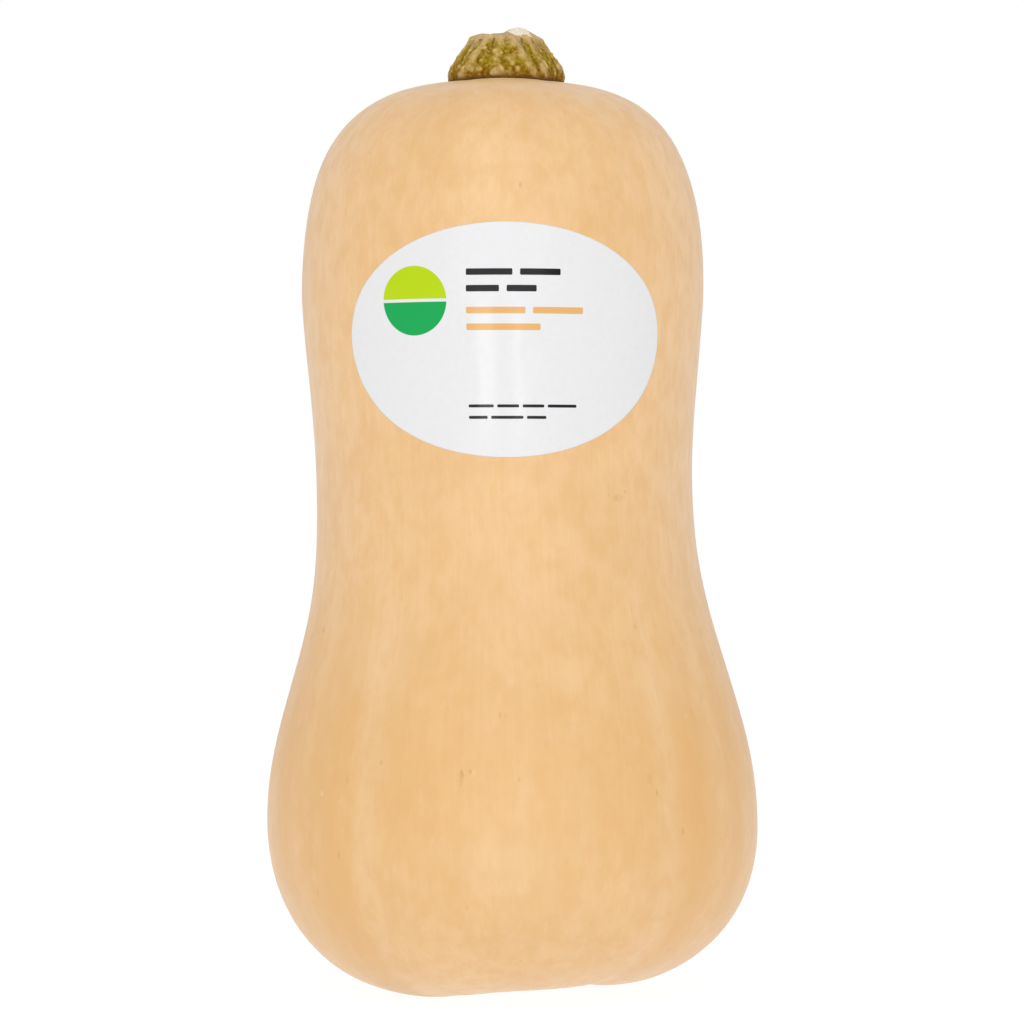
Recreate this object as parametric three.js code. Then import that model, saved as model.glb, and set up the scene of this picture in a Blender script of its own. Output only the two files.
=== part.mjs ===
// A butternut squash standing on its blossom end: the fruit, its dry stem stub and an oval paper label.
// Millimetres, +Z up. The origin is on the surface that it stands on, under the middle of its bounding box.
// The label faces -Y. Angles round the fruit and the stem are in degrees from -Y, positive towards +X.

import * as THREE from "three";

// ---- Driving dimensions ----

// Rings that the fruit's outline passes through, from the blossom scar up to the crown.
// below and above are the lengths of the outline's upright tangents at a ring, inward and outward of its
// level ones. A longer tangent keeps the outline straighter there.
const SCAR = { radius: 4.6, height: 5.4, drop: 0.9, outward: 5.4 }; // a button up in the dimple of the foot
const FOOT = { radius: 21.7, height: -0.45, inward: 7.7, outward: 21.5 }; // lowest ring, before flattening
const BULB = { radius: 58.9, height: 39.9, below: 23.4, above: 30.5 }; // widest ring of the seed end
const WAIST = { radius: 45.1, height: 118.9, below: 39.7, above: 18.3 }; // narrowest ring of the neck
const HEAD = { radius: 48.4, height: 168, below: 8.9, above: 48.4 }; // widest ring above the waist
const CROWN = { radius: 0, height: 217.5, outward: 25.3 }; // top of the fruit, under the stem

const LABEL = { halfWidth: 39.8, halfHeight: 26.7, height: 153.7, angle: 1, thickness: 0.3, gap: 0.2 };

// Rings of the stem between its ridges, with heights above the crown.
const STEM_GAP = 0.3; // between the crown and the seat
const STEM_SEAT = { radius: 12.4, height: 0 };
const STEM_FOOT = { radius: 13.3, height: 1.9, above: 1.8 };
const STEM_RIM = { radius: 8.5, height: 9.2, flare: 2.2, below: 3.2 }; // where the flank ends
const STEM_CUT = { radius: 7, height: 10.1 }; // where the domed cut end begins
const STEM_TOP = { height: 11, outward: 4 };

// ---- Natural irregularity ----

// The fruit's axis wanders: how far its rings stand off the origin at each height.
const AXIS_HEIGHTS = [0, 40, 80, 122, 170, 218];
const AXIS_OFFSETS = [0.4, -0.8, 0, 0, -0.3, 0.6, -1.9, 1.9, -2.3, 2.4, -1.9, 1.6]; // x and y of each

// Five lobes meet in five shallow grooves that run from stem to blossom scar.
const GROOVE_ANGLES = [-108, -34, 40, 121, 184];
const GROOVE_HEIGHTS = [0, 12, 40, 90, 130, 185, 210, 218];
const GROOVE_DEPTHS = [0.7, 1.1, 0.95, 0.3, 0.1, 0.15, 0.85, 1.05];
const GROOVE_SHARPNESS = 0.6; // below 1 the lobes are broad and the grooves narrow
const GROOVE_FADE = 9; // length over which they run out at the stem and at the scar

// The foot is higher on one side, so the fruit stands on the lobes on its other sides.
const FOOT_LIFT = { angle: 32, spread: 59, rise: 3 };

// Ridges of the stem: the angles at their feet and at the rim, how far they stand out and half their width.
const RIDGES = [
  { foot: -150, rim: -150, rise: 1, spread: 13 },
  { foot: -108, rim: -104, rise: 0.6, spread: 9 },
  { foot: -78, rim: -68, rise: 0.8, spread: 11 },
  { foot: -50, rim: -50, rise: 0.7, spread: 6 },
  { foot: -46, rim: -27, rise: 1.2, spread: 9 },
  { foot: -10, rim: -8, rise: 0.4, spread: 7 },
  { foot: 32, rim: 14, rise: 0.9, spread: 7 },
  { foot: 46, rim: 40, rise: 0.9, spread: 7 },
  { foot: 92, rim: 86, rise: 1.3, spread: 15 },
  { foot: 128, rim: 124, rise: 0.6, spread: 9 },
  { foot: 166, rim: 166, rise: 1.1, spread: 13 },
];
const RIDGE_END_RISE = 0.4; // of a ridge's end above the rim, for each millimetre that the ridge stands out
const KNOB = { angle: -58, offset: 6.4, radius: 1.6, rise: 0.6 }; // two ridges' ends, grown together
const PITH = { angle: 66, offset: 3.8, radius: 3.3, rise: 2.1 }; // dry lump on the cut end
const WARTS = { count: 60, radius: [0.8, 1.3], rise: [0.35, 0.7], seed: 8 };

// ---- Fineness of the solids ----

const FRUIT_COLUMNS = 72;
const FRUIT_ROWS = { scar: 3, dimple: 6, foot: 13, flank: 10, neck: 7, shoulder: 14 };
const STEM_COLUMNS = 88;
const STEM_ROWS = { seat: 4, edge: 3, flank: 16, rim: 3, cut: 6 };
const LABEL_COLUMNS = 56;
const LABEL_ROWS = 10;

// ---- Shared helpers ----

const radians = THREE.MathUtils.degToRad;

// Smallest angle in degrees between two directions.
function angleBetween(a, b) {
  return Math.abs(THREE.MathUtils.euclideanModulo(a - b + 180, 360) - 180);
}

function bell(distance, spread) {
  return Math.exp(-((distance / spread) ** 2));
}

// A point straight above a ring of an outline, or straight out from it.
function above(ring, length) {
  return new THREE.Vector2(ring.radius, ring.height + length);
}

function outward(ring, length) {
  return new THREE.Vector2(ring.radius + length, ring.height);
}

// A point level with a ring, at its own distance from the axis.
function onAxis(ring, distance) {
  return new THREE.Vector2(distance, ring.height);
}

// A smooth curve from the first point to the last, pulled towards the points between them.
function bezier(...points) {
  const Curve = points.length === 3 ? THREE.QuadraticBezierCurve : THREE.CubicBezierCurve;
  return new Curve(...points);
}

// Points of an outline in the (radius, height) half plane, each with its outward direction.
// spans is a list of [curve, rows], joined end to end, from the axis below to the axis above.
function profileOf(spans) {
  const points = [];
  spans.forEach(([curve, rows], index) => {
    for (let row = index ? 1 : 0; row <= rows; row++) {
      const point = curve.getPoint(row / rows);
      const tangent = curve.getTangent(row / rows);
      points.push({ radius: point.x, height: point.y, out: tangent.y, up: -tangent.x });
    }
  });
  return points;
}

// A profile turned round +Z, with every point then put where place(profile point, angle in degrees) says.
function turned(profile, columns, place) {
  const outline = profile.map((p) => new THREE.Vector2(p.radius, p.height));
  const geometry = new THREE.LatheGeometry(outline, columns);
  const position = geometry.getAttribute("position");
  for (let i = 0; i < position.count; i++) {
    const angle = (360 * Math.floor(i / profile.length)) / columns;
    const { x, y, z } = place(profile[i % profile.length], angle);
    position.setXYZ(i, x, y, z);
  }
  geometry.computeVertexNormals();
  return geometry;
}

// Small seeded generator of numbers from 0 to 1, the same on every run.
function seededRandom(seed) {
  let state = seed;
  return () => {
    state = (state + 0x6d2b79f5) | 0;
    let t = Math.imul(state ^ (state >>> 15), 1 | state);
    t = (t + Math.imul(t ^ (t >>> 7), 61 | t)) ^ t;
    return ((t ^ (t >>> 14)) >>> 0) / 4294967296;
  };
}

// ---- Fruit ----

const SCAR_BOTTOM = { radius: 0, height: SCAR.height - SCAR.drop };
const fruitSpans = {
  scar: bezier(above(SCAR_BOTTOM, 0), above(SCAR, -SCAR.drop), above(SCAR, 0)),
  dimple: bezier(above(SCAR, 0), outward(SCAR, SCAR.outward), outward(FOOT, -FOOT.inward), above(FOOT, 0)),
  foot: bezier(above(FOOT, 0), outward(FOOT, FOOT.outward), above(BULB, -BULB.below), above(BULB, 0)),
  flank: bezier(above(BULB, 0), above(BULB, BULB.above), above(WAIST, -WAIST.below), above(WAIST, 0)),
  neck: bezier(above(WAIST, 0), above(WAIST, WAIST.above), above(HEAD, -HEAD.below), above(HEAD, 0)),
  shoulder: bezier(above(HEAD, 0), above(HEAD, HEAD.above), outward(CROWN, CROWN.outward), above(CROWN, 0)),
};
const fruitProfile = profileOf(Object.entries(fruitSpans).map(([name, curve]) => [curve, FRUIT_ROWS[name]]));
const axisOffset = new THREE.CubicInterpolant(AXIS_HEIGHTS, AXIS_OFFSETS, 2, new Float64Array(2));
const grooveDepth = new THREE.CubicInterpolant(GROOVE_HEIGHTS, GROOVE_DEPTHS, 1, new Float64Array(1));

// 0 in the grooves and 1 along the middle of each lobe.
function lobeShare(angle) {
  const wrapped = GROOVE_ANGLES[0] + THREE.MathUtils.euclideanModulo(angle - GROOVE_ANGLES[0], 360);
  const ends = [...GROOVE_ANGLES, GROOVE_ANGLES[0] + 360];
  const next = ends.findIndex((groove) => groove > wrapped);
  const share = (wrapped - ends[next - 1]) / (ends[next] - ends[next - 1]);
  return Math.sin(Math.PI * share) ** GROOVE_SHARPNESS;
}

// How deep the grooves are. They run out under the stem and at the blossom scar.
function grooveDepthAt(radius, height) {
  const inner = height > BULB.height ? STEM_FOOT.radius : SCAR.radius;
  return grooveDepth.evaluate(height)[0] * THREE.MathUtils.smoothstep(radius, inner, inner + GROOVE_FADE);
}

// How far the foot is lifted off its own outline: most at the bottom, and not at all by the widest ring.
function footLift(radius, height, angle) {
  const low = 1 - THREE.MathUtils.smoothstep(height, 0, BULB.height);
  const outer = THREE.MathUtils.smoothstep(radius, SCAR.radius, FOOT.radius);
  const side = Math.exp(-((angleBetween(angle, FOOT_LIFT.angle) / FOOT_LIFT.spread) ** 4));
  return FOOT_LIFT.rise * side * outer * low;
}

// A point of the fruit's skin, or of a surface at some distance off it.
function onFruit({ radius, height, out, up }, angle, distance = 0) {
  const inside = THREE.MathUtils.clamp(height, 0, CROWN.height);
  const off = distance - grooveDepthAt(radius, inside) * (1 - lobeShare(angle));
  const [dx, dy] = axisOffset.evaluate(inside);
  const r = radius + off * out;
  return new THREE.Vector3(
    dx + r * Math.sin(radians(angle)),
    dy - r * Math.cos(radians(angle)),
    Math.max(0, height + off * up + footLift(radius, inside, angle)),
  );
}

function fruitGeometry() {
  return turned(fruitProfile, FRUIT_COLUMNS, (step, angle) => onFruit(step, angle));
}

// ---- Label ----

// The outline at a height above the bulb, between two of its rows.
function neckAt(height) {
  const after = fruitProfile.findIndex((p) => p.height > height && p.height > BULB.height);
  const [low, high] = [fruitProfile[after - 1], fruitProfile[after]];
  const share = (height - low.height) / (high.height - low.height);
  const mix = (key) => THREE.MathUtils.lerp(low[key], high[key], share);
  return { radius: mix("radius"), height, out: mix("out"), up: mix("up") };
}

// A thin oval disc laid round the neck. Its profile is in shares: radius of the oval, height of the paper.
function labelGeometry() {
  const steps = Array.from({ length: LABEL_ROWS }, (_, i) => i / (LABEL_ROWS - 1));
  const back = steps.map((share) => ({ radius: share, height: 0 }));
  const front = steps.map((share) => ({ radius: 1 - share, height: 1 }));
  const neckRadius = neckAt(LABEL.height).radius;
  return turned([...back, ...front], LABEL_COLUMNS, ({ radius, height }, angle) => {
    const across = LABEL.halfWidth * radius * Math.sin(radians(angle));
    const below = LABEL.halfHeight * radius * Math.cos(radians(angle));
    const turn = LABEL.angle + THREE.MathUtils.radToDeg(across / neckRadius);
    return onFruit(neckAt(LABEL.height - below), turn, LABEL.gap + LABEL.thickness * height);
  });
}

// ---- Stem ----

const stemSpans = {
  seat: bezier(onAxis(STEM_SEAT, 0), onAxis(STEM_SEAT, STEM_SEAT.radius / 2), above(STEM_SEAT, 0)),
  edge: bezier(above(STEM_SEAT, 0), above(STEM_FOOT, -STEM_FOOT.height), above(STEM_FOOT, 0)),
  flank: bezier(
    above(STEM_FOOT, 0),
    above(STEM_FOOT, STEM_FOOT.above),
    outward({ ...STEM_RIM, height: STEM_RIM.height - STEM_RIM.below }, STEM_RIM.flare),
    above(STEM_RIM, 0),
  ),
  rim: bezier(above(STEM_RIM, 0), outward(STEM_CUT, STEM_RIM.radius - STEM_CUT.radius), above(STEM_CUT, 0)),
  cut: bezier(above(STEM_CUT, 0), onAxis(STEM_TOP, STEM_TOP.outward), onAxis(STEM_TOP, 0)),
};
const stemProfile = profileOf(Object.entries(stemSpans).map(([name, curve]) => [curve, STEM_ROWS[name]]));

function scatteredWarts() {
  const random = seededRandom(WARTS.seed);
  const between = ([low, high]) => low + (high - low) * random();
  return Array.from({ length: WARTS.count }, () => ({
    angle: 360 * random(),
    height: between([STEM_FOOT.height / 2, STEM_CUT.height]),
    radius: between(WARTS.radius),
    rise: between(WARTS.rise),
  }));
}

const warts = scatteredWarts();

function wartRise(angle, radius, height) {
  const rises = warts.map((wart) => {
    const across = radians(angleBetween(angle, wart.angle)) * radius;
    return wart.rise * bell(Math.hypot(across, height - wart.height), wart.radius);
  });
  return Math.max(...rises);
}

function ridgeRise(angle, height) {
  const rises = RIDGES.map((ridge) => {
    const crest = THREE.MathUtils.mapLinear(height, STEM_FOOT.height, STEM_RIM.height, ridge.foot, ridge.rim);
    return ridge.rise * bell(angleBetween(angle, crest), ridge.spread);
  });
  return Math.max(...rises);
}

// Height of a lump on the cut end, at a point of the stem.
function lumpRise(lump, x, y) {
  const lumpX = lump.offset * Math.sin(radians(lump.angle));
  const lumpY = -lump.offset * Math.cos(radians(lump.angle));
  return lump.rise * bell(Math.hypot(x - lumpX, y - lumpY), lump.radius);
}

// Height of the crown's skin at a distance from the middle of the fruit's top.
function crownHeight(distance) {
  const after = fruitProfile.findIndex((p) => p.height > HEAD.height && p.radius <= distance);
  const [far, near] = [fruitProfile[after - 1], fruitProfile[after]];
  const share = (distance - near.radius) / (far.radius - near.radius);
  return THREE.MathUtils.lerp(near.height, far.height, share);
}

function onStem({ radius, height, out, up }, angle) {
  const outer = THREE.MathUtils.smoothstep(radius, 0, STEM_CUT.radius);
  const ridge = ridgeRise(angle, height) * outer;
  const wart = height > 0 ? wartRise(angle, radius, height) * outer : 0;
  const r = radius + ridge + wart * out;
  const x = r * Math.sin(radians(angle));
  const y = -r * Math.cos(radians(angle));
  const atEnd = THREE.MathUtils.smoothstep(height, STEM_RIM.height - STEM_RIM.below, STEM_CUT.height);
  const swelling = atEnd * (RIDGE_END_RISE * ridge + lumpRise(KNOB, x, y) + lumpRise(PITH, x, y));
  return new THREE.Vector3(x, y, crownHeight(r) + STEM_GAP + Math.max(0, height + wart * up) + swelling);
}

function stemGeometry() {
  return turned(stemProfile, STEM_COLUMNS, onStem);
}

// ---- Assembly ----

function piece(name, geometry, material) {
  const mesh = new THREE.Mesh(geometry, new THREE.MeshStandardMaterial(material));
  mesh.name = name;
  return mesh;
}

const fruit = piece("fruit", fruitGeometry(), { color: 0xf2c890, roughness: 0.5, metalness: 0 });
const label = piece("label", labelGeometry(), { color: 0xf1f0f0, roughness: 0.3, metalness: 0 });
const stem = piece("stem", stemGeometry(), { color: 0x9c8236, roughness: 0.7, metalness: 0 });
stem.position.set(...axisOffset.evaluate(CROWN.height), 0);

const squash = new THREE.Group();
squash.add(fruit, label, stem);

// The fruit is the widest piece all round, so its box centres the whole squash on the origin.
const middle = new THREE.Box3().setFromObject(fruit).getCenter(new THREE.Vector3());
squash.position.set(-middle.x, -middle.y, 0);

export default squash;
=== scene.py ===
"""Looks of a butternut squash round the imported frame: waxy skin, corky stem, paper label and a white studio.

Everything is in metres in the frame's axes: +Z is up, the label faces -Y and the squash stands on z = 0.
Angles are in degrees round the fruit or the stem, from -Y, positive towards +X.
"""

import math

import bmesh
import bpy
import numpy as np
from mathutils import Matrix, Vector, noise
from mathutils.bvhtree import BVHTree


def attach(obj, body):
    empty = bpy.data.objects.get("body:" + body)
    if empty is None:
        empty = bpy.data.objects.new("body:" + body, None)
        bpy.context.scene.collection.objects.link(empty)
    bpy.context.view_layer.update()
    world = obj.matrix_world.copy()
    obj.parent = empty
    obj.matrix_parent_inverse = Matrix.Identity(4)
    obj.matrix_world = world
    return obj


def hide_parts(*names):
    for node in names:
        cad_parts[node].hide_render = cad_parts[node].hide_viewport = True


MM = 0.001

# ---- Camera and studio ----

CAMERA_AT = (-0.12 * MM, -900 * MM, 114.3 * MM)
CAMERA_LENS = 131.84  # millimetres, on a sensor of 36
SENSOR = 36
CLIP_START = 0.01
BACKGROUND = 1.0  # what the camera sees round the squash
SURROUND = 0.785  # light from all round
FLOOR_SIZE = 40.0
FLOOR_GLOW = 0.94
FLOOR_SHADE = 0.12

# Softboxes: azimuth from -Y, height, distance, width, length and how much brighter than white each is.
SOFTBOXES = {
    "front_wash": (0, 0.36, 1.7, 1.6, 1.4, 1.08),
    "top_wash": (-6, 1.4, 1.15, 0.8, 0.48, 2.65),
    "left_strip": (-10, 0.035, 1.0, 0.13, 0.06, 7.0),
    "right_strip": (8, 0.035, 1.0, 0.10, 0.06, 6.0),
}

# ---- Meshes and noise ----

WELD = 0.002 * MM  # vertices closer than this are one
FLAT_ENOUGH = 60  # degrees: two triangles that bend or skew less than this make one quad
MIDDLE = (0.3, 0.7)  # the range that holds most of a noise

# ---- Skin ----

SKIN_LEVELS = 2
BLOSSOM_END = 0.1  # share of the fruit's height
CROWN_END = 0.8
TURNING = (BLOSSOM_END, 0.85)  # shares of its height over which the streaks turn from outwards to inwards
# Thin pale lines from stem to blossom end: the angle and the strength of each.
PALE_LINES = (
    (-155, 0.3), (-130, 0.15), (-108, 0.35), (-84, 0.2), (-60, 0.2), (-36, 0.4), (15, 0.2),
    (38.5, 0.4), (58, 0.3), (82, 0.2), (104, 0.35), (121, 0.25), (150, 0.2), (184, 0.35),
)
PALE_WIDTH = 3.2  # degrees
PALE_BELOW = (75 * MM, 120 * MM)  # heights between which they run out on the bulb
PALE_ABOVE = (165 * MM, 195 * MM)  # and come back on the shoulder
PALE_SHOULDER = 0.6  # as strong there as this share
SKIN_REACH = 50 * MM  # radius at which the streaks have their stated width
# Marks on the skin, small but for three soft pale patches; the lowest, on the bulb's front, is a painted
# highlight.
# Each has its angle and its height, half width and half length in millimetres, its tone and its strength.
MARKS = (
    (-11.2, 54.5, 0.8, 3.6, "rub", 0.45),
    (-11.0, 55.4, 0.45, 1.3, "tick", 0.35),
    (-9.2, 55.9, 0.45, 0.9, "tick", 0.4),
    (-8.4, 55.6, 0.8, 1.1, "pale", 0.2),
    (-2.6, 68.4, 0.5, 1.1, "tick", 0.4),
    (-1.6, 68.0, 1.2, 2.2, "rub", 0.2),
    (33.0, 53.6, 1.3, 2.0, "rub", 0.35),
    (34.8, 50.4, 0.45, 1.0, "tick", 0.35),
    (-40.5, 53.0, 1.1, 1.7, "rub", 0.4),
    (-48.4, 49.6, 0.9, 1.0, "pale", 0.3),
    (36.0, 92.0, 0.4, 1.1, "tick", 0.25),
    (36.4, 88.0, 0.4, 1.3, "tick", 0.25),
    (34.5, 117.6, 3.0, 1.3, "rub", 0.25),
    (31.0, 118.2, 0.4, 0.5, "tick", 0.35),
    (34.0, 117.6, 0.45, 0.5, "tick", 0.3),
    (37.4, 119.0, 0.35, 0.6, "tick", 0.35),
    (50.0, 68.0, 0.9, 2.2, "rub", 0.25),
    # A painted highlight: the bright reflection low on the bulb's front, painted as a pale patch.
    (-1.0, 34.0, 17.0, 10.0, "pale", 0.14),
    (-36.0, 82.0, 16.0, 15.0, "pale", 0.16),
    (40.0, 74.0, 12.0, 10.0, "pale", 0.12),
    (96.0, 60.0, 1.0, 3.4, "rub", 0.35),
    (152.0, 88.0, 0.7, 2.6, "rub", 0.35),
    (171.0, 44.0, 1.4, 1.8, "rub", 0.3),
    (-140.0, 60.0, 0.8, 3.0, "rub", 0.35),
    (-98.0, 130.0, 0.7, 2.2, "rub", 0.3),
)
MARK_TONES = {"rub": (0.60, 0.34, 0.08), "tick": (0.40, 0.22, 0.07), "pale": (0.86, 0.66, 0.42)}
MARK_EDGE = (1.0, 0.2)  # distances from its middle, as shares of its size, over which a mark comes in
MARK_RAGGED = 1.0 * MM  # how far its outline wanders
MARK_NOISE = {"size": 0.9 * MM, "output": "Color"}
SPECK_CELL = (9 * MM, 9 * MM, 18 * MM)  # one speck at most in each
SWELL = {"size": 24 * MM, "rise": 0.22 * MM, "shift": 3.1}
FLUTE = {"size": 3.0 * MM, "rise": 0.025 * MM, "shift": 7.7}
FLUTE_STRETCH = 6
DENTS = {"count": 26, "radius": (1.5 * MM, 4.5 * MM), "height": (0.06 * MM, 0.2 * MM), "seed": 5}
STILL_BELOW = 3 * MM  # the spots that the squash stands on keep their shape
RIPE = {"height": 56 * MM, "spread": 31 * MM}  # where the skin is deepest in colour
BULB_SIDES = (22, 54)  # angles over which the bulb's front gives way to its flanks and back, which carry painted shade
NECK_SIDES = (28, 62)  # and the neck's, whose flanks carry a painted sheen
FLANK_SHADE_TO_NECK_SHEEN = (48 * MM, 125 * MM)  # heights over which the painted shade on the bulb's flanks gives way to the painted sheen on the neck's flanks
SCAR_RADIUS = 5.2 * MM
SCAR_CORE = 0.7 * SCAR_RADIUS
CROWN_RADIUS = 19 * MM
CROWN_CORE = 0.6 * CROWN_RADIUS
# Noise in the colour of the skin, by its place and along its streaks from stem to blossom end.
SKIN_NOISE = {
    "cloud": {"size": 22 * MM, "detail": 2.0},
    "mottle": {"size": 3.6 * MM, "stretch": (1, 1, 1.7), "detail": 4.0, "roughness": 0.6},
    "tint": {"size": 5.5 * MM, "stretch": (1, 1, 1.6)},
    "pore": {"size": 0.5 * MM, "detail": 2.0},
    "scar": {"size": 1.2 * MM, "detail": 5.0},
    "rub": {"size": 5.5 * MM, "stretch": (0.7, 0.7, 1.8), "roughness": 0.6},
}
STREAK_NOISE = {
    "streak": {"size": 1.0 * MM, "stretch": (1, 1, 4), "roughness": 0.6},
    "band": {"size": 9 * MM, "stretch": (1, 1, 5), "detail": 2.0},
}
CLOUD_TONES = ((0.80, 0.51, 0.247), (0.755, 0.465, 0.214))
# Zones of the skin: how strongly each is tinted, and its tone. The ripe band is the skin's own colour; the
# bulb's darker flanks and back are painted shade, and the neck's paler flanks are a painted sheen.
ZONES = {
    "ripe": (0.5, (0.725, 0.415, 0.142)),
    "painted_flank_shade": (0.75, (0.715, 0.395, 0.130)),
    "painted_neck_sheen": (0.5, (0.80, 0.545, 0.32)),
}
# Washes of colour over the skin: a value, where it starts and where it ends, its strength there and its tone.
SKIN_WASHES = (
    ("band", 0.35, 0.75, 0.25, (0.81, 0.55, 0.28)),
    ("tint", 0.55, 0.75, 0.35, (0.82, 0.52, 0.295)),
    ("tint", 0.45, 0.25, 0.35, (0.73, 0.465, 0.165)),
    ("mottle", 0.35, 0.7, 0.5, (0.715, 0.405, 0.150)),
    ("streak", 0.3, 0.75, 0.18, (0.66, 0.38, 0.145)),
)
# Soft rubs here and there, and specks, which come in over a distance in shares of their cell.
FLECKS = (
    ("rub", 0.68, 0.82, 0.5, MARK_TONES["rub"]),
    ("speck", 0.06, 0.02, 0.35, MARK_TONES["tick"]),
)
PALE_TONE = (0.86, 0.65, 0.42)
PALE_MOTTLE = (0.7, 0.4, 0.2, 0.45)  # mottling breaks up the pale lines: its range, and their strengths
CROWN_WASH = (0.3, (0.77, 0.54, 0.33))
SCAR_TONES = ((0.16, 0.09, 0.04), (0.38, 0.26, 0.13))
SCAR_RANGE = (0.35, 0.65)
SCAR_RAGGED = (*MIDDLE, -0.4, 0.2)  # the range of the tint that eats into the scar, and by how much
SCAR_EDGE = (0.2, 0.7)
SKIN_GLOSS = {"Specular_IOR_Level": 0.4, "Coat_Weight": 0.45, "Coat_Roughness": 0.34}
SKIN_ROUGHNESS = (0.2, 0.8, 0.38, 0.5)  # the range of the mottling, and the roughness at each end
SKIN_BUMPS = {"mottle": 0.03 * MM, "pore": 0.008 * MM}

# ---- Stem ----

STEM_LEVELS = 2
STEM_SINK = 0.5 * MM
STEM_SINK_BELOW = 6 * MM
STEM_SLIM = 0.98  # its width without the warts, as a share of the solid's, whose outline the warts reach
STEM_WARTS = {"count": 90, "radius": (0.42 * MM, 0.72 * MM), "height": (0.16 * MM, 0.38 * MM), "seed": 11}
STEM_PIMPLES = {"count": 160, "radius": (0.26 * MM, 0.4 * MM), "height": (0.06 * MM, 0.16 * MM), "seed": 12}
STEM_FIBRE = {"size": 0.9 * MM, "rise": 0.16 * MM, "shift": 2.3}
STEM_GRAIN = {"size": 0.9 * MM, "rise": 0.12 * MM, "shift": 5.5}
STEM_REACH = 10 * MM  # radius at which the fibres have their stated width
FIBRE_STRETCH = 6
FINE_ROUNDS = 10  # of smoothing, against which warts and fissures stand out
BROAD_ROUNDS = 100  # of smoothing, against which ridges and valleys stand out
STEM_RIM = (8 * MM, 10.5 * MM)  # heights over which the flank turns into the pale lip round the cut
CUT_ABOVE = (7 * MM, 9 * MM)
CUT_FACING = (0.45, 0.85)  # how far a face points up where the cut starts, and where it is all cut
SEAT_FACING = -0.3  # faces that point further down than this are the seat
PITH = {"angle": 45, "offset": 5.2 * MM, "radius": 2.9 * MM, "edge": (0.7, 1.2)}
PITH_ABOVE = (8.4 * MM, 9.4 * MM)
# Noise in the colour of the stem, by its place.
STEM_NOISE = {
    "patch": {"size": 2.2 * MM},
    "fine": {"size": 0.55 * MM, "detail": 4.0, "roughness": 0.65},
    "fleck": {"size": 0.8 * MM, "detail": 4.0, "roughness": 0.7},
}
VALLEY_TONES = ((0.25, 0.14, 0.002), (0.31, 0.215, 0.005))
VALLEY_RANGE = (0.35, 0.65)
# Washes of colour over the stem, as over the skin: browner low down, then the fleck's lights and darks.
STEM_WASHES = (
    ("off_skin", 4.5, 1.0, 0.8, (0.235, 0.105, 0.002)),
    ("fleck", 0.48, 0.66, 0.65, (0.52, 0.36, 0.10)),
    ("fleck", 0.46, 0.32, 0.6, (0.14, 0.065, 0.002)),
)
# Dry tan on what stands out: the range of the fine noise that breaks it up, its strengths and its tone.
RIM_TAN = ((0.3, 0.55, 0.3, 0.9), (0.60, 0.44, 0.20))
RIDGE_TAN = ((0.3, 0.6, 0.45, 0.85), (0.56, 0.39, 0.15))
WART_TAN = ((0.25, 0.55, 0.2, 0.6), (0.66, 0.48, 0.15))
RIDGE_RANGE = (-0.5, 1.6)
WART_RANGE = (0.1, 0.9)
# Paler on what stands out, and darker in the hollows round it: the darkening in the hollows is painted shade.
RELIEF_WASHES = (
    ("relief", 0.6, 2.0, 0.3, (0.64, 0.48, 0.24)),
    ("relief", -0.4, -2.0, 0.7, (0.15, 0.07, 0.003)),
)
CUT_TONES = ((0.66, 0.48, 0.28), (0.50, 0.33, 0.16))
CUT_WASHES = (("patch", *MIDDLE, 0.6, (0.44, 0.30, 0.14)),)
PITH_TONES = ((0.88, 0.81, 0.66), (0.72, 0.61, 0.42))
PITH_RANGE = (0.4, 0.7)
PITH_RAGGED = (*MIDDLE, -0.3, 0.3)
PITH_EDGE = (0.3, 0.75)
# Near-black brown where the stem meets the skin: partly a dark ring of cork, partly painted shade where the
# two parts meet.
FOOT_WASHES = (("off_skin", 1.4, 0.25, 0.85, (0.09, 0.035, 0.006)),)
STEM_GLOSS = {"Roughness": 0.75, "Specular_IOR_Level": 0.04}
STEM_BUMP = 0.15 * MM

# ---- Label ----

LABEL_LEVELS = 2
LABEL_SPREAD = 1.015  # the paper lies closer to the skin than its solid, so it is cut a little larger
PAPER_FRONT = 0.12 * MM
PAPER_BACK = -0.06 * MM
PAPER_NOISE = {"size": 1.4 * MM}
PAPER_TONES = ((0.735, 0.735, 0.745), (0.72, 0.72, 0.73))
PAPER_GLOSS = {"Roughness": 0.16, "Specular_IOR_Level": 0.25}
INKS = {
    "charcoal": (0.004, 0.004, 0.005),
    "tan": (0.72, 0.40, 0.14),
    "lime": (0.44, 0.61, 0.0),
    "green": (0.0, 0.35, 0.075),
}
INK_EDGE = 0.06  # millimetres on each side of an outline over which the ink comes in
# Plain bars printed on the label, in millimetres from its middle: ink, height, thickness and each bar's ends.
BARS = (
    ("charcoal", 15.4, 1.5, ((-9, 1.5), (3.2, 12.5))),
    ("charcoal", 11.6, 1.5, ((-9, -1.5), (0.2, 7))),
    ("tan", 6.6, 1.5, ((-9, 4.5), (6.2, 18))),
    ("tan", 2.8, 1.5, ((-9, 8),)),
    ("charcoal", -15.2, 0.7, ((-9, -3), (-2.2, 3), (3.8, 9), (9.8, 17))),
    ("charcoal", -17.8, 0.7, ((-9, -4.5), (-3.7, 4), (4.8, 9.5))),
)
BAR_CORNER = 0.3
DISC = {"middle": (-21.5, 9), "radius": 8.0, "gap": 0.35, "seam": 0.05}

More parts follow.
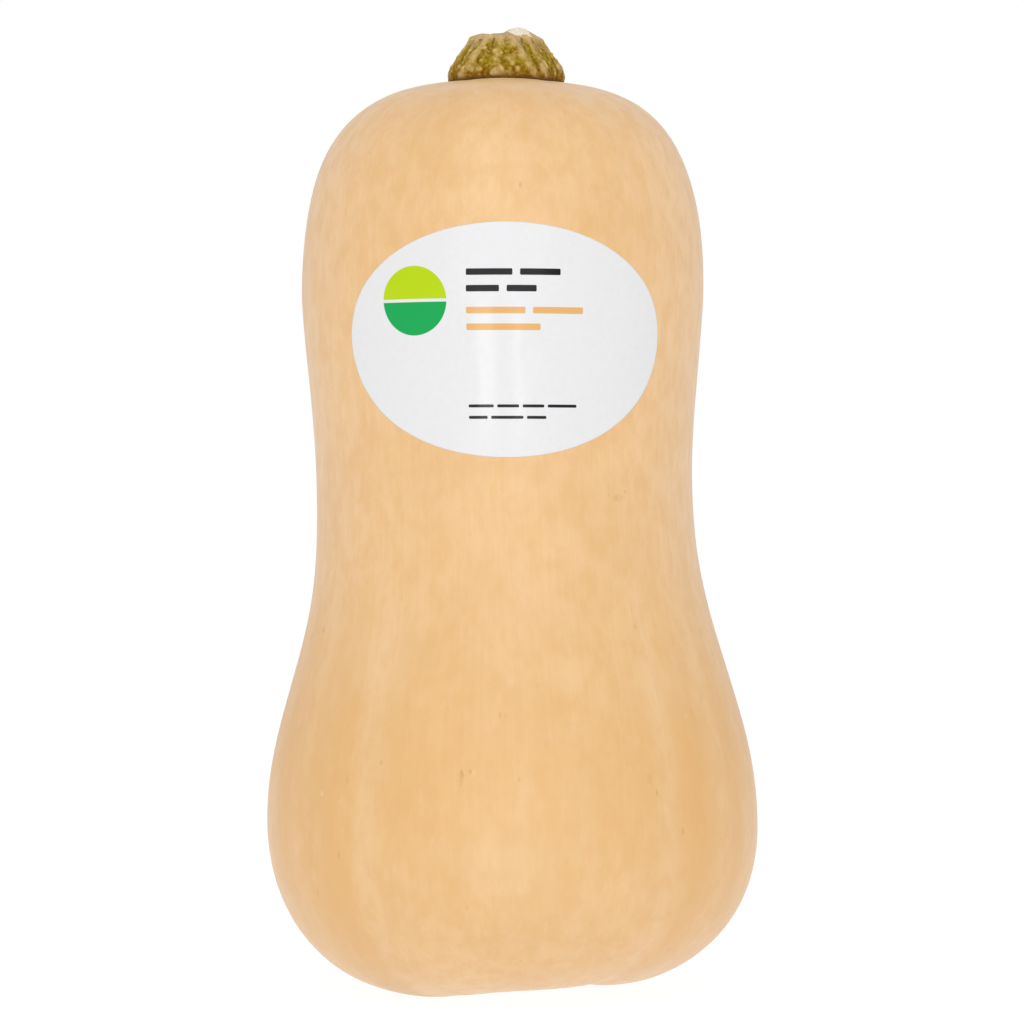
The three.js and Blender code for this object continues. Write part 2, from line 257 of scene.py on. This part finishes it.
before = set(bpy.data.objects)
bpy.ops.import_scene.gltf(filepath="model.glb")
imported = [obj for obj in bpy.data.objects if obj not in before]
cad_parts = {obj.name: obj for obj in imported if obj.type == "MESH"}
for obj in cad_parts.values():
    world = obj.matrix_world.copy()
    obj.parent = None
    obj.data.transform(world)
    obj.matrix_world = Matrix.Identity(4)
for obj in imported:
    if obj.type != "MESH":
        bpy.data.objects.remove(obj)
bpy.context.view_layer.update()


# ---- Meshes as arrays ----

def points_of(piece):
    """The mesh's vertices, one row each."""
    points = np.empty(3 * len(piece.data.vertices))
    piece.data.vertices.foreach_get("co", points)
    return points.reshape(-1, 3)


def move_points(piece, points):
    piece.data.vertices.foreach_set("co", points.ravel())
    piece.data.update()


def normals_of(piece):
    """The mesh's smooth normals, one row a vertex."""
    normals = np.empty(3 * len(piece.data.vertices))
    piece.data.vertices.foreach_get("normal", normals)
    return normals.reshape(-1, 3)


def edges_of(piece):
    edges = np.empty(2 * len(piece.data.edges), dtype=int)
    piece.data.edges.foreach_get("vertices", edges)
    return edges.reshape(-1, 2)


def keep(piece, name, values):
    """Stores a number or a vector for each vertex, for the material to read."""
    kind, slot = ("FLOAT", "value") if values.ndim == 1 else ("FLOAT_VECTOR", "vector")
    attribute = piece.data.attributes.new(name, kind, "POINT")
    attribute.data.foreach_set(slot, np.ascontiguousarray(values, dtype=np.float32).ravel())


def refined(node, name, levels):
    """A new object with a CAD node's mesh, welded, made of quads and subdivided."""
    shape = bmesh.new()
    shape.from_mesh(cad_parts[node].data)
    bmesh.ops.remove_doubles(shape, verts=shape.verts, dist=WELD)
    limits = dict.fromkeys(("angle_face_threshold", "angle_shape_threshold"), math.radians(FLAT_ENOUGH))
    bmesh.ops.join_triangles(shape, faces=shape.faces, **limits)
    for face in shape.faces:
        face.smooth = True
        face.material_index = 0
    mesh = bpy.data.meshes.new(name)
    shape.to_mesh(mesh)
    shape.free()
    piece = bpy.data.objects.new(name, mesh)
    bpy.context.scene.collection.objects.link(piece)
    piece.modifiers.new("Subdivision", "SUBSURF").levels = levels
    whole = piece.evaluated_get(bpy.context.evaluated_depsgraph_get())
    fine = bpy.data.meshes.new_from_object(whole)
    piece.modifiers.clear()
    piece.data = fine
    return piece


def rumple(points, relief):
    """Height of smooth noise at each point, with swells of about the relief's size."""
    shifted = points / relief["size"] + relief["shift"]
    return relief["rise"] * np.array([noise.noise(Vector(point)) for point in shifted])


def smoothstep(values, low, high):
    share = np.clip((values - low) / (high - low), 0, 1)
    return share * share * (3 - 2 * share)


def bell(distance, spread):
    return np.exp(-((distance / spread) ** 2))


def angle_between(a, b):
    """Smallest angle in degrees between directions."""
    return np.abs((a - b + 180) % 360 - 180)


def angle_round(points, centre):
    """Angle of each point round an upright axis."""
    return np.degrees(np.arctan2(points[:, 0] - centre[..., 0], centre[..., 1] - points[:, 1]))


def neighbour_mean(values, edges, rounds):
    """The mean of each vertex's neighbours' values, taken over a number of times."""
    ends = np.concatenate([edges, edges[:, ::-1]])
    count = np.bincount(ends[:, 0])[:, None]
    for _ in range(rounds):
        columns = [np.bincount(ends[:, 0], weights=column[ends[:, 1]]) for column in values.T]
        values = np.stack(columns, axis=1) / count
    return values


def scatter(points, spots, where):
    """How far small round spots stand out at each point. Each spot is centred on one of the chosen points."""
    random = np.random.default_rng(spots["seed"])
    chosen = np.flatnonzero(where)
    rise = np.zeros(len(points))
    for _ in range(spots["count"]):
        centre = points[random.choice(chosen)]
        radius = random.uniform(*spots["radius"])
        height = random.uniform(*spots["height"])
        rise = np.maximum(rise, height * bell(np.linalg.norm(points - centre, axis=1), radius))
    return rise


def tree_of(piece):
    return BVHTree.FromObject(piece, bpy.context.evaluated_depsgraph_get())


# ---- Node materials ----

class Finish:
    """A node material that is put together step by step. Every step returns the output that it makes."""

    def __init__(self, name, **settings):
        self.material = bpy.data.materials.new(name)
        self.material.use_nodes = True
        self.tree = self.material.node_tree
        self.shader = self.tree.nodes["Principled BSDF"]
        self.set(self.shader, settings)

    def set(self, node, inputs):
        for name, value in inputs.items():
            socket = node.inputs[int(name[1:]) if name[0] == "_" else name.replace("_", " ")]
            if isinstance(value, bpy.types.NodeSocket):
                self.tree.links.new(value, socket)
            else:
                socket.default_value = value

    def step(self, kind, output=0, modes=None, **inputs):
        node = self.tree.nodes.new("ShaderNode" + kind)
        for name, value in (modes or {}).items():
            setattr(node, name, value)
        self.set(node, inputs)
        return node.outputs[output]

    def number(self, name):
        """A number kept for each vertex."""
        return self.step("Attribute", "Fac", {"attribute_name": name})

    def vector(self, name):
        """A vector kept for each vertex."""
        return self.step("Attribute", "Vector", {"attribute_name": name})

    def place(self):
        """The point in the frame, in metres."""
        return self.step("TexCoord", "Object")

    def noise(self, at, size, stretch=(1, 1, 1), detail=3.0, roughness=0.5, output="Fac"):
        """Noise from 0 to 1 whose features have the given size, times the stretch along each axis."""
        scale = [1 / (size * part) for part in stretch]
        scaled = self.step("VectorMath", modes={"operation": "MULTIPLY"}, _0=at, _1=scale)
        return self.step("TexNoise", output, Vector=scaled, Scale=1.0, Detail=detail, Roughness=roughness)

    def math(self, operation, *values):
        return self.step("Math", modes={"operation": operation}, **{f"_{i}": v for i, v in enumerate(values)})

    def span(self, value, low, high, start=0.0, end=1.0):
        """The value's place between low and high as a smooth share, from start to end."""
        return self.step("MapRange", modes={"interpolation_type": "SMOOTHSTEP"}, Value=value,
                         From_Min=low, From_Max=high, To_Min=start, To_Max=end)

    def blend(self, share, first, second):
        """Two colours mixed by a share."""
        modes = {"data_type": "RGBA", "clamp_factor": True}
        return self.step("Mix", 2, modes, _0=share, _6=rgba(first), _7=rgba(second))

    def tinted(self, colour, value, strength, tone):
        """The colour tinted by a value from 0 to 1, times a strength."""
        return self.blend(self.math("MULTIPLY", value, strength), colour, tone)

    def washed(self, colour, values, washes):
        """The colour under washes of others, each of which comes in over a range of one of the values."""
        for name, start, end, strength, tone in washes:
            colour = self.blend(self.span(values[name], start, end, 0.0, strength), colour, tone)
        return colour

    def bump(self, height, depth):
        """Fine relief, in metres, that the mesh doesn't carry."""
        normal = self.shader.inputs["Normal"]
        below = {"Normal": normal.links[0].from_socket} if normal.links else {}
        bumped = self.step("Bump", Height=height, Distance=depth, **below)
        self.set(self.shader, {"Normal": bumped})


def rgba(colour):
    return colour if isinstance(colour, bpy.types.NodeSocket) else (*colour, 1.0)


def dress(piece, finish, node):
    """Gives a piece its material and its part in the frame."""
    piece.data.materials.clear()
    piece.data.materials.append(finish.material)
    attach(piece, "root")
    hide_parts(node)


# ---- Skin ----

def axis_at(points, heights, slices=30, degree=5):
    """The middle of the fruit at each of the heights: a smooth curve through the middles of its rings."""
    edges = np.linspace(points[:, 2].min(), points[:, 2].max(), slices + 1)
    rings = [points[(points[:, 2] >= low) & (points[:, 2] < high), :2] for low, high in zip(edges, edges[1:])]
    middles = np.array([(ring.min(axis=0) + ring.max(axis=0)) / 2 for ring in rings])
    levels = (edges[:-1] + edges[1:]) / 2
    curves = [np.polyfit(levels, middle, degree) for middle in middles.T]
    return np.stack([np.polyval(curve, heights) for curve in curves], axis=-1)


def meridian_coordinates(points, centres):
    """A coordinate system that runs round the fruit and along it, for streaks from stem to blossom end."""
    angle = np.radians(angle_round(points, centres))
    radius = np.linalg.norm(points[:, :2] - centres, axis=1)
    height = points[:, 2]
    turning = smoothstep(height / height.max(), *TURNING)
    along = height + radius * (1 - 2 * turning)
    return np.stack([SKIN_REACH * np.cos(angle), SKIN_REACH * np.sin(angle), along], axis=1)


def make_skin():
    skin = refined("fruit", "skin", SKIN_LEVELS)
    points, normals = points_of(skin), normals_of(skin)
    centres = axis_at(points, points[:, 2])
    angle = angle_round(points, centres)
    radius = np.linalg.norm(points[:, :2] - centres, axis=1)
    meridian = meridian_coordinates(points, centres)
    height = points[:, 2]
    low, high = height < BLOSSOM_END * height.max(), height > CROWN_END * height.max()
    keep(skin, "meridian", meridian)
    keep(skin, "ripe", bell(height - RIPE["height"], RIPE["spread"]))
    # Painted shade on the bulb's flanks and back, and a painted sheen on the neck's flanks, by angle round the
    # fruit.
    upper = smoothstep(height, *FLANK_SHADE_TO_NECK_SHEEN)
    keep(skin, "painted_flank_shade", smoothstep(np.abs(angle), *BULB_SIDES) * (1 - upper))
    keep(skin, "painted_neck_sheen", smoothstep(np.abs(angle), *NECK_SIDES) * upper)
    keep(skin, "pale", pale_lines(angle, height) * smoothstep(radius, SCAR_RADIUS, 2 * CROWN_RADIUS))
    keep(skin, "scar", np.where(low, 1 - smoothstep(radius, SCAR_CORE, SCAR_RADIUS), 0))
    keep(skin, "crown", np.where(high, 1 - smoothstep(radius, CROWN_CORE, CROWN_RADIUS), 0))
    swell = rumple(points, SWELL)
    flute = rumple(meridian * (1, 1, 1 / FLUTE_STRETCH), FLUTE)
    dent = scatter(points, DENTS, radius > CROWN_RADIUS)
    still = smoothstep(height, 0, STILL_BELOW) * (1 - np.where(high, bell(radius, CROWN_RADIUS), 0))
    move_points(skin, points + normals * (still * (swell + flute - dent))[:, None])
    return skin


def pale_lines(angle, height):
    """Strength of the pale lines at each point."""
    lines = sum(strength * bell(angle_between(angle, middle), PALE_WIDTH) for middle, strength in PALE_LINES)
    return lines * (1 - smoothstep(height, *PALE_BELOW) + PALE_SHOULDER * smoothstep(height, *PALE_ABOVE))


def skin_finish(skin):
    finish = Finish("squash_skin", **SKIN_GLOSS)
    place, meridian = finish.place(), finish.vector("meridian")
    values = {name: finish.noise(place, **kind) for name, kind in SKIN_NOISE.items()}
    values |= {name: finish.noise(meridian, **kind) for name, kind in STREAK_NOISE.items()}
    colour = finish.blend(finish.span(values["cloud"], *MIDDLE), *CLOUD_TONES)
    # The ripe band, then the painted shade on the bulb's flanks and the painted sheen on the neck's flanks.
    for name, zone in ZONES.items():
        colour = finish.tinted(colour, finish.number(name), *zone)
    colour = finish.washed(colour, values, SKIN_WASHES)
    broken = finish.span(values["mottle"], *PALE_MOTTLE)
    colour = finish.tinted(colour, finish.number("pale"), broken, PALE_TONE)
    colour = finish.tinted(colour, finish.number("crown"), *CROWN_WASH)
    colour = flecked(finish, colour, place, values)
    colour = marked(finish, place, colour, tree_of(skin), axis_at(points_of(skin), 0.0))
    colour = scarred(finish, colour, values)
    roughness = finish.span(values["mottle"], *SKIN_ROUGHNESS)
    finish.set(finish.shader, {"Base_Color": colour, "Roughness": roughness})
    for name, depth in SKIN_BUMPS.items():
        finish.bump(values[name], depth)
    return finish


def flecked(finish, colour, place, values):
    """Adds soft brown rubs here and there, and specks strewn all over."""
    cells = finish.step("VectorMath", modes={"operation": "DIVIDE"}, _0=place, _1=SPECK_CELL)
    values = values | {"speck": finish.step("TexVoronoi", "Distance", Vector=cells, Scale=1.0)}
    return finish.washed(colour, values, FLECKS)


def scarred(finish, colour, values):
    """Adds the corky blossom scar, with a ragged edge."""
    scar_colour = finish.blend(finish.span(values["scar"], *SCAR_RANGE), *SCAR_TONES)
    edge = finish.math("ADD", finish.number("scar"), finish.span(values["tint"], *SCAR_RAGGED))
    return finish.blend(finish.span(edge, *SCAR_EDGE), colour, scar_colour)


def marked(finish, place, colour, skin_tree, axis):
    """Adds the marks, each a blot with a ragged outline; the broad pale one low on the bulb's front is a
    painted highlight.
    """
    ragged = finish.noise(place, **MARK_NOISE)
    reach = Vector((MARK_RAGGED,) * 3)
    moved = finish.step("VectorMath", modes={"operation": "MULTIPLY_ADD"}, _0=ragged, _1=reach, _2=place)
    for angle, height, width, length, tone, strength in MARKS:
        turn = math.radians(angle)
        outward = Vector((math.sin(turn), -math.cos(turn), 0))
        middle = skin_tree.ray_cast(Vector((*axis, height * MM)), outward)[0]
        offset = finish.step("VectorMath", modes={"operation": "SUBTRACT"}, _0=moved, _1=middle + reach / 2)
        size = (width * MM, width * MM, length * MM)
        shares = finish.step("VectorMath", modes={"operation": "DIVIDE"}, _0=offset, _1=size)
        away = finish.step("VectorMath", "Value", {"operation": "LENGTH"}, _0=shares)
        colour = finish.blend(finish.span(away, *MARK_EDGE, 0.0, strength), colour, MARK_TONES[tone])
    return colour


# ---- Stem ----

def make_stem(skin):
    stem = refined("stem", "corky_stem", STEM_LEVELS)
    points, normals, edges = points_of(stem), normals_of(stem), edges_of(stem)
    centre = points[:, :2].mean(axis=0)
    height = points[:, 2] - points[:, 2].min()
    cut = smoothstep(normals[:, 2], *CUT_FACING) * smoothstep(height, *CUT_ABOVE)
    flank = (cut == 0) & (normals[:, 2] > SEAT_FACING)
    wart = np.maximum(scatter(points, STEM_WARTS, flank), scatter(points, STEM_PIMPLES, flank))
    fibre = rumple(around(points, centre), STEM_FIBRE) * (1 - cut)
    grain = rumple(points, STEM_GRAIN)
    shaped = points + normals * (wart + fibre + grain)[:, None]
    shaped[:, :2] = centre + STEM_SLIM * (shaped[:, :2] - centre)
    shaped[:, 2] -= STEM_SINK * (1 - smoothstep(height, 0, STEM_SINK_BELOW))
    move_points(stem, shaped)
    skin_tree = tree_of(skin)
    for name, rounds in (("relief", FINE_ROUNDS), ("ridge", BROAD_ROUNDS)):
        keep(stem, name, unusual(stands_out(shaped, normals, edges, rounds), height))
    keep(stem, "rim", smoothstep(height, *STEM_RIM))
    keep(stem, "wart", wart / STEM_WARTS["height"][1])
    keep(stem, "off_skin", np.array([skin_tree.find_nearest(Vector(point))[3] for point in shaped]) / MM)
    keep(stem, "cut", cut)
    near_pith = 1 - smoothstep(distance_from_pith(shaped, centre), *PITH["edge"])
    keep(stem, "pith", near_pith * smoothstep(height, *PITH_ABOVE))
    return stem


def around(points, centre):
    """A coordinate system round the stem and up it, for fibres that run up its flank."""
    angle = np.radians(angle_round(points, centre))
    up = points[:, 2] / FIBRE_STRETCH
    return np.stack([STEM_REACH * np.cos(angle), STEM_REACH * np.sin(angle), up], axis=1)


def stands_out(points, normals, edges, rounds):
    """How far each point stands out of its smoothed surroundings."""
    return ((points - neighbour_mean(points, edges, rounds)) * normals).sum(axis=1)


def unusual(values, height, bands=24):
    """How far each value is from what is usual at its height, in terms of the spread there."""
    band = np.minimum((height / height.max() * bands).astype(int), bands - 1)
    middles = (np.arange(bands) + 0.5) * height.max() / bands
    usual, square = [np.bincount(band, weights=each) / np.bincount(band) for each in (values, values ** 2)]
    spread = np.sqrt(square - usual ** 2)
    return (values - np.interp(height, middles, usual)) / np.interp(height, middles, spread)


def distance_from_pith(points, centre):
    """Distance from the white pith's middle, as a share of its radius."""
    turn = math.radians(PITH["angle"])
    middle = centre + PITH["offset"] * np.array([math.sin(turn), -math.cos(turn)])
    return np.linalg.norm(points[:, :2] - middle, axis=1) / PITH["radius"]


def stem_finish():
    finish = Finish("stem_cork", **STEM_GLOSS)
    place = finish.place()
    values = {name: finish.noise(place, **kind) for name, kind in STEM_NOISE.items()}
    kept = ("off_skin", "rim", "ridge", "wart", "relief", "cut", "pith")
    values |= {name: finish.number(name) for name in kept}
    colour = finish.blend(finish.span(values["patch"], *VALLEY_RANGE), *VALLEY_TONES)
    colour = finish.washed(colour, values, STEM_WASHES)
    ridge = finish.span(values["ridge"], *RIDGE_RANGE)
    wart = finish.span(values["wart"], *WART_RANGE)
    for value, (broken, tone) in ((values["rim"], RIM_TAN), (ridge, RIDGE_TAN), (wart, WART_TAN)):
        colour = finish.tinted(colour, value, finish.span(values["fine"], *broken), tone)
    # Paler on what stands out, and painted shade in the hollows.
    colour = finish.washed(colour, values, RELIEF_WASHES)
    colour = finish.blend(values["cut"], colour, cut_colour(finish, values))
    pith = finish.math("ADD", values["pith"], finish.span(values["fleck"], *PITH_RAGGED))
    dry = finish.blend(finish.span(values["fine"], *PITH_RANGE), *PITH_TONES)
    colour = finish.blend(finish.span(pith, *PITH_EDGE), colour, dry)
    # The dark foot: a ring of cork, and painted shade where the stem meets the skin.
    colour = finish.washed(colour, values, FOOT_WASHES)
    finish.set(finish.shader, {"Base_Color": colour})
    finish.bump(values["fine"], STEM_BUMP)
    return finish


def cut_colour(finish, values):
    """The dry wood of the cut end."""
    colour = finish.blend(finish.span(values["fine"], *MIDDLE), *CUT_TONES)
    return finish.washed(colour, values, CUT_WASHES)


# ---- Label ----

def make_label(skin):
    """The oval label, thinned and laid on the skin."""
    label = refined("label", "paper_label", LABEL_LEVELS)
    points, normals = points_of(label), normals_of(label)
    skin_points = points_of(skin)
    centres = axis_at(skin_points, points[:, 2])
    outward = points[:, :2] - centres
    radius = np.linalg.norm(outward, axis=1)
    angle = np.radians(angle_round(points, centres))
    front = 0.5 + 0.5 * (normals[:, :2] * outward).sum(axis=1) / radius
    turn, middle = middle_of(angle), middle_of(points[:, 2])
    sheet = LABEL_SPREAD * np.stack([(angle - turn) * radius.mean(), points[:, 2] - middle], axis=1)
    spread = turn + sheet[:, 0] / radius.mean()
    around_neck = np.stack([radius * np.sin(spread), -radius * np.cos(spread)], axis=1) + centres
    skin_tree = tree_of(skin)
    laid = [skin_tree.find_nearest(Vector((*at, middle + up))) for at, up in zip(around_neck, sheet[:, 1])]
    on_skin = np.array([hit[0] for hit in laid])
    away = np.array([hit[1] for hit in laid])
    move_points(label, on_skin + away * (PAPER_BACK + (PAPER_FRONT - PAPER_BACK) * front)[:, None])
    keep(label, "sheet", np.pad(sheet, ((0, 0), (0, 1))) / MM)
    return label


def middle_of(values):
    return (values.min() + values.max()) / 2


def label_finish():
    finish = Finish("label_paper", **PAPER_GLOSS)
    sheet = finish.vector("sheet")
    fibre = finish.noise(finish.place(), **PAPER_NOISE)
    colour = finish.blend(finish.span(fibre, *MIDDLE), *PAPER_TONES)
    for ink, height, thickness, ends in BARS:
        bars = [bar(finish, sheet, start, end, height, thickness) for start, end in ends]
        colour = finish.blend(printed(finish, *bars), colour, INKS[ink])
    colour = two_tone_disc(finish, sheet, colour)
    finish.set(finish.shader, {"Base_Color": colour})
    return finish


def bar(finish, sheet, start, end, height, thickness, corner=BAR_CORNER):
    """Distance outside a level bar with rounded corners."""
    corner = min(corner, thickness / 2)
    inner = ((end - start) / 2 - corner, thickness / 2 - corner, 0)
    middle = ((start + end) / 2, height, 0)
    moved = finish.step("VectorMath", modes={"operation": "SUBTRACT"}, _0=sheet, _1=middle)
    folded = finish.step("VectorMath", modes={"operation": "ABSOLUTE"}, _0=moved)
    beyond = finish.step("VectorMath", modes={"operation": "SUBTRACT"}, _0=folded, _1=inner)
    outside = finish.step("VectorMath", modes={"operation": "MAXIMUM"}, _0=beyond, _1=(0, 0, 0))
    length = finish.step("VectorMath", "Value", {"operation": "LENGTH"}, _0=outside)
    return finish.math("SUBTRACT", length, corner)


def printed(finish, first, *others):
    """Share of ink where any of the distances is below zero."""
    for other in others:
        first = finish.math("MINIMUM", first, other)
    return finish.span(first, INK_EDGE, -INK_EDGE)


def two_tone_disc(finish, sheet, colour):
    """A lime and green disc with a bare line across it."""
    x, y = DISC["middle"]
    radius = DISC["radius"]
    disc = bar(finish, sheet, x - radius, x + radius, y, 2 * radius, corner=radius)
    height = finish.math("SUBTRACT", finish.step("SeparateXYZ", "Y", _0=sheet), y)
    line = finish.math("SUBTRACT", DISC["gap"], finish.math("ABSOLUTE", height))
    tone = finish.blend(finish.span(height, -DISC["seam"], DISC["seam"]), INKS["green"], INKS["lime"])
    return finish.blend(printed(finish, finish.math("MAXIMUM", disc, line)), colour, tone)


# ---- Studio ----

def make_camera():
    data = bpy.data.cameras.new("camera")
    data.lens = CAMERA_LENS
    data.sensor_width = SENSOR
    data.clip_start = CLIP_START
    camera = bpy.data.objects.new("camera", data)
    camera.location = CAMERA_AT
    camera.rotation_euler = (math.radians(90), 0, 0)
    bpy.context.scene.collection.objects.link(camera)
    bpy.context.scene.camera = camera


def make_surround():
    """White for the camera, and softer light from all round for the squash."""
    world = bpy.data.worlds.new("surround")
    world.use_nodes = True
    nodes, links = world.node_tree.nodes, world.node_tree.links
    seen = nodes.new("ShaderNodeLightPath").outputs["Is Camera Ray"]
    strength = nodes.new("ShaderNodeMapRange")
    strength.inputs["To Min"].default_value = SURROUND
    strength.inputs["To Max"].default_value = BACKGROUND
    links.new(seen, strength.inputs["Value"])
    light = nodes["Background"]
    light.inputs["Color"].default_value = (1, 1, 1, 1)
    links.new(strength.outputs["Result"], light.inputs["Strength"])
    bpy.context.scene.world = world


def make_floor():
    shape = bmesh.new()
    bmesh.ops.create_grid(shape, x_segments=1, y_segments=1, size=FLOOR_SIZE / 2)
    mesh = bpy.data.meshes.new("floor")
    shape.to_mesh(mesh)
    shape.free()
    floor = bpy.data.objects.new("floor", mesh)
    bpy.context.scene.collection.objects.link(floor)
    finish = Finish("floor", Base_Color=(FLOOR_SHADE,) * 3 + (1,), Roughness=1.0, Specular_IOR_Level=0.0,
                    Emission_Color=(1, 1, 1, 1), Emission_Strength=FLOOR_GLOW)
    floor.data.materials.append(finish.material)


def make_softbox(name, azimuth, height, distance, width, length, brightness):
    """An area light that faces the middle of the squash."""
    light = bpy.data.lights.new(name, "AREA")
    light.shape = "RECTANGLE"
    light.size, light.size_y = width, length
    light.energy = brightness * math.pi * width * length
    box = bpy.data.objects.new(name, light)
    turn = math.radians(azimuth)
    box.location = (distance * math.sin(turn), -distance * math.cos(turn), height)
    away = box.location - Vector((0, 0, CAMERA_AT[2]))
    box.rotation_euler = away.to_track_quat("Z", "Y").to_euler()
    box.visible_camera = False
    bpy.context.scene.collection.objects.link(box)


def make_studio():
    make_camera()
    make_surround()
    make_floor()
    for name, softbox in SOFTBOXES.items():
        make_softbox(name, *softbox)
    bpy.context.scene.view_settings.view_transform = "Standard"


make_studio()
skin = make_skin()
dress(skin, skin_finish(skin), "fruit")
stem = make_stem(skin)
dress(stem, stem_finish(), "stem")
label = make_label(skin)
dress(label, label_finish(), "label")
